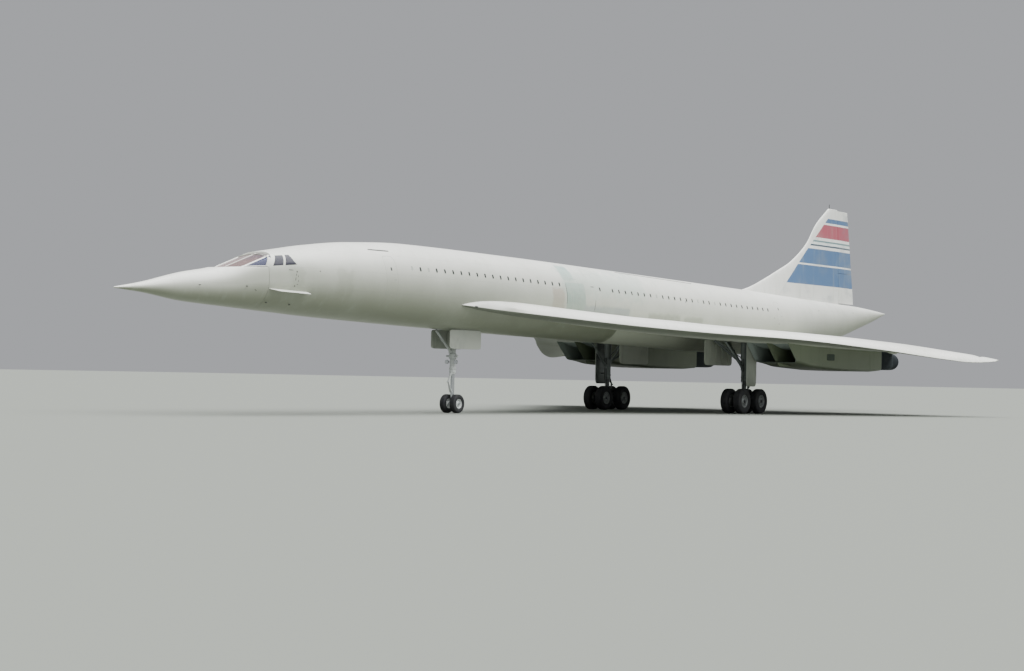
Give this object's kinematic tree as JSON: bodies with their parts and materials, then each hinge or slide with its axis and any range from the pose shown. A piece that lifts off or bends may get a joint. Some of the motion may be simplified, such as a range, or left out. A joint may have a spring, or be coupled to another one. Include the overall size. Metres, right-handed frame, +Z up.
{
  "type": "1:2 scale model supersonic delta-wing airliner",
  "caption": "Half-size supersonic delta-wing airliner parked on its landing gear, with a drooping nose, steered nose wheels, elevons and rudders that move.",
  "frame": {"origin": "on the ground under the middle of the aircraft's length and span", "axes": "+X aft along the length, nose towards -X; +Y to starboard; +Z up"},
  "size_m": [30.83, 12.8, 5.71],
  "materials": {
    "white_paint": "weathered gloss off-white paint",
    "nacelle_paint": "dull pale olive-grey paint",
    "gear_paint": "grey paint, greasy and worn",
    "dark_metal": "heat-darkened metal",
    "tyre": "matt black rubber",
    "tinted_glass": "tinted glass"
  },
  "bodies": {
    "airframe": {"fuselage": "white_paint", "windscreen": "tinted_glass", "tail_cone": "white_paint", "fin": "white_paint", "fin_tip_mast": "dark_metal", "nose_leg": "gear_paint", "nose_drag_strut": "gear_paint", "tail_bumper_leg": "gear_paint", "cockpit_side_glass_starboard": "tinted_glass", "nose_strake_starboard": "white_paint", "wing_starboard": "white_paint", "nacelle_starboard": "nacelle_paint", "nozzle_pair_starboard": "dark_metal", "engine_inner_starboard": "dark_metal", "engine_outer_starboard": "dark_metal", "main_leg_starboard": "gear_paint", "main_side_stay_starboard": "gear_paint", "main_drag_strut_starboard": "gear_paint", "main_leg_door_starboard": "gear_paint", "main_bay_door_starboard": "white_paint", "main_bogie_starboard": "gear_paint", "nose_gear_door_starboard": "white_paint", "cockpit_side_glass_port": "tinted_glass", "nose_strake_port": "white_paint", "wing_port": "white_paint", "nacelle_port": "nacelle_paint", "nozzle_pair_port": "dark_metal", "engine_inner_port": "dark_metal", "engine_outer_port": "dark_metal", "main_leg_port": "gear_paint", "main_side_stay_port": "gear_paint", "main_drag_strut_port": "gear_paint", "main_leg_door_port": "gear_paint", "main_bay_door_port": "white_paint", "main_bogie_port": "gear_paint", "nose_gear_door_port": "white_paint"},
    "nose_section": {"droop_nose": "white_paint", "visor": "tinted_glass"},
    "elevon_inner_starboard_body": {"elevon_inner_starboard": "white_paint"},
    "elevon_inner_port_body": {"elevon_inner_port": "white_paint"},
    "elevon_middle_starboard_body": {"elevon_middle_starboard": "white_paint"},
    "elevon_middle_port_body": {"elevon_middle_port": "white_paint"},
    "elevon_outer_starboard_body": {"elevon_outer_starboard": "white_paint"},
    "elevon_outer_port_body": {"elevon_outer_port": "white_paint"},
    "rudder_lower_body": {"rudder_lower": "white_paint"},
    "rudder_upper_body": {"rudder_upper": "white_paint"},
    "nose_steering": {"nose_fork": "gear_paint"},
    "nose_wheels": {"nose_wheel_starboard": "tyre", "nose_wheel_port": "tyre"},
    "main_wheels_front_starboard": {"main_wheel_front_inner_starboard": "tyre", "main_wheel_front_outer_starboard": "tyre"},
    "main_wheels_rear_starboard": {"main_wheel_rear_inner_starboard": "tyre", "main_wheel_rear_outer_starboard": "tyre"},
    "main_wheels_front_port": {"main_wheel_front_inner_port": "tyre", "main_wheel_front_outer_port": "tyre"},
    "main_wheels_rear_port": {"main_wheel_rear_inner_port": "tyre", "main_wheel_rear_outer_port": "tyre"},
    "tail_bumper_pair": {"tail_bumper_wheels": "tyre"}
  },
  "joints": [
    {"name": "nose_droop", "type": "hinge", "parent": "airframe", "child": "nose_section", "pos_m": [-12.0435, 0, 1.948], "axis": [0, -1, 0], "range_deg": [0, 12.5]},
    {"name": "elevon_inner_starboard_hinge", "type": "hinge", "parent": "airframe", "child": "elevon_inner_starboard_body", "pos_m": [7.885, 0.9, 1.70614], "axis": [0, 0.9997, -0.0234], "range_deg": [-17.5, 17.5]},
    {"name": "elevon_inner_port_hinge", "type": "hinge", "parent": "airframe", "child": "elevon_inner_port_body", "pos_m": [7.885, -2.075, 1.67868], "axis": [0, 0.9997, 0.0234], "range_deg": [-17.5, 17.5]},
    {"name": "elevon_middle_starboard_hinge", "type": "hinge", "parent": "airframe", "child": "elevon_middle_starboard_body", "pos_m": [7.858, 3.31, 1.63864], "axis": [-0.0854, 0.9949, -0.054], "range_deg": [-17.5, 17.5]},
    {"name": "elevon_middle_port_hinge", "type": "hinge", "parent": "airframe", "child": "elevon_middle_port_body", "pos_m": [7.725, -4.86, 1.55456], "axis": [0.0854, 0.9949, 0.054], "range_deg": [-17.5, 17.5]},
    {"name": "elevon_outer_starboard_hinge", "type": "hinge", "parent": "airframe", "child": "elevon_outer_starboard_body", "pos_m": [7.723, 4.88, 1.55325], "axis": [-0.0855, 0.9897, -0.1147], "range_deg": [-17.5, 17.5]},
    {"name": "elevon_outer_port_hinge", "type": "hinge", "parent": "airframe", "child": "elevon_outer_port_body", "pos_m": [7.615, -6.13, 1.40835], "axis": [0.0855, 0.9897, 0.1147], "range_deg": [-17.5, 17.5]},
    {"name": "rudder_lower_hinge", "type": "hinge", "parent": "airframe", "child": "rudder_lower_body", "pos_m": [12.2608, 0, 2.985], "axis": [-0.04, 0, 0.9992], "range_deg": [-30, 30]},
    {"name": "rudder_upper_hinge", "type": "hinge", "parent": "airframe", "child": "rudder_upper_body", "pos_m": [12.227, 0, 3.83], "axis": [-0.04, 0, 0.9992], "range_deg": [-30, 30]},
    {"name": "nose_steer", "type": "hinge", "parent": "airframe", "child": "nose_steering", "pos_m": [-5.72, 0, 0.9], "axis": [0, 0, 1], "range_deg": [-60, 60]},
    {"name": "nose_wheels_spin", "type": "hinge", "parent": "nose_steering", "child": "nose_wheels", "pos_m": [-5.72, 0, 0.19433], "axis": [0, 1, 0], "continuous": true},
    {"name": "main_wheels_front_starboard_spin", "type": "hinge", "parent": "airframe", "child": "main_wheels_front_starboard", "pos_m": [2.9575, 1.93, 0.29482], "axis": [0, 1, 0], "continuous": true},
    {"name": "main_wheels_rear_starboard_spin", "type": "hinge", "parent": "airframe", "child": "main_wheels_rear_starboard", "pos_m": [3.7925, 1.93, 0.29482], "axis": [0, 1, 0], "continuous": true},
    {"name": "main_wheels_front_port_spin", "type": "hinge", "parent": "airframe", "child": "main_wheels_front_port", "pos_m": [2.9575, -1.93, 0.29482], "axis": [0, 1, 0], "continuous": true},
    {"name": "main_wheels_rear_port_spin", "type": "hinge", "parent": "airframe", "child": "main_wheels_rear_port", "pos_m": [3.7925, -1.93, 0.29482], "axis": [0, 1, 0], "continuous": true},
    {"name": "tail_bumper_spin", "type": "hinge", "parent": "airframe", "child": "tail_bumper_pair", "pos_m": [11.185, 0, 1.19], "axis": [0, 1, 0], "continuous": true}
  ]
}
